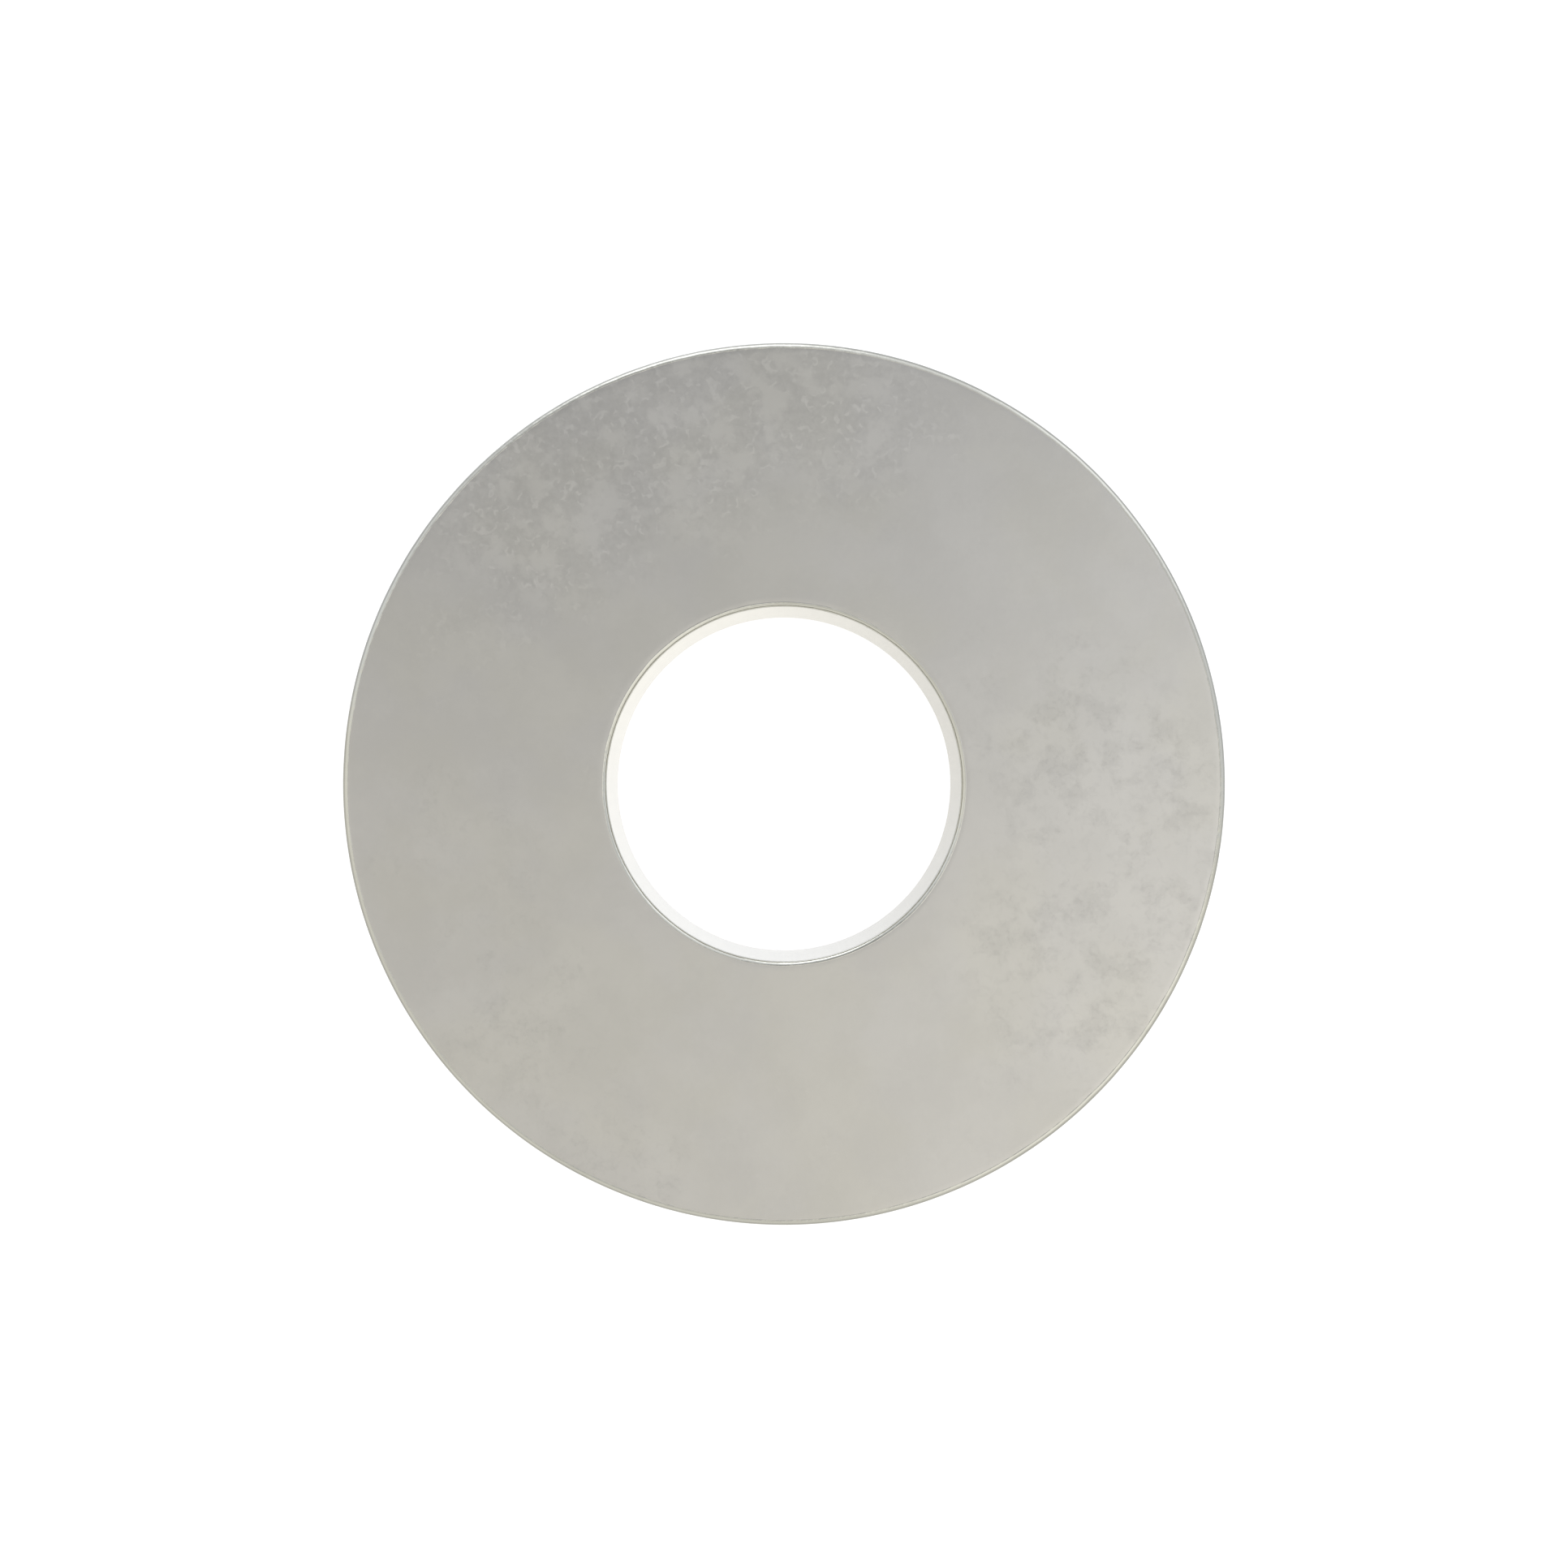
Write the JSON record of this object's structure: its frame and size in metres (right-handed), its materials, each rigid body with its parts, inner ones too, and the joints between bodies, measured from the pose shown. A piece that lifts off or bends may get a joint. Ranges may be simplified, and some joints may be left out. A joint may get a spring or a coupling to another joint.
{
  "type": "flat washer",
  "caption": "Thick flat steel washer with a plain round bore and rounded edges, spreading a nut's or bolt head's load.",
  "frame": {"origin": "on the bolt's axis, in the plane of the lower bearing face", "axes": "+Z along the bolt's axis, out of the upper bearing face; +X and +Y lie across the washer, which is round, so neither is special"},
  "size_m": [0.021, 0.021, 0.004],
  "materials": {
    "satin_steel": "satin, tumbled, bare steel with a faint cloudy mottle"
  },
  "bodies": {
    "root": {"flat_washer": "satin_steel"}
  },
  "joints": []
}
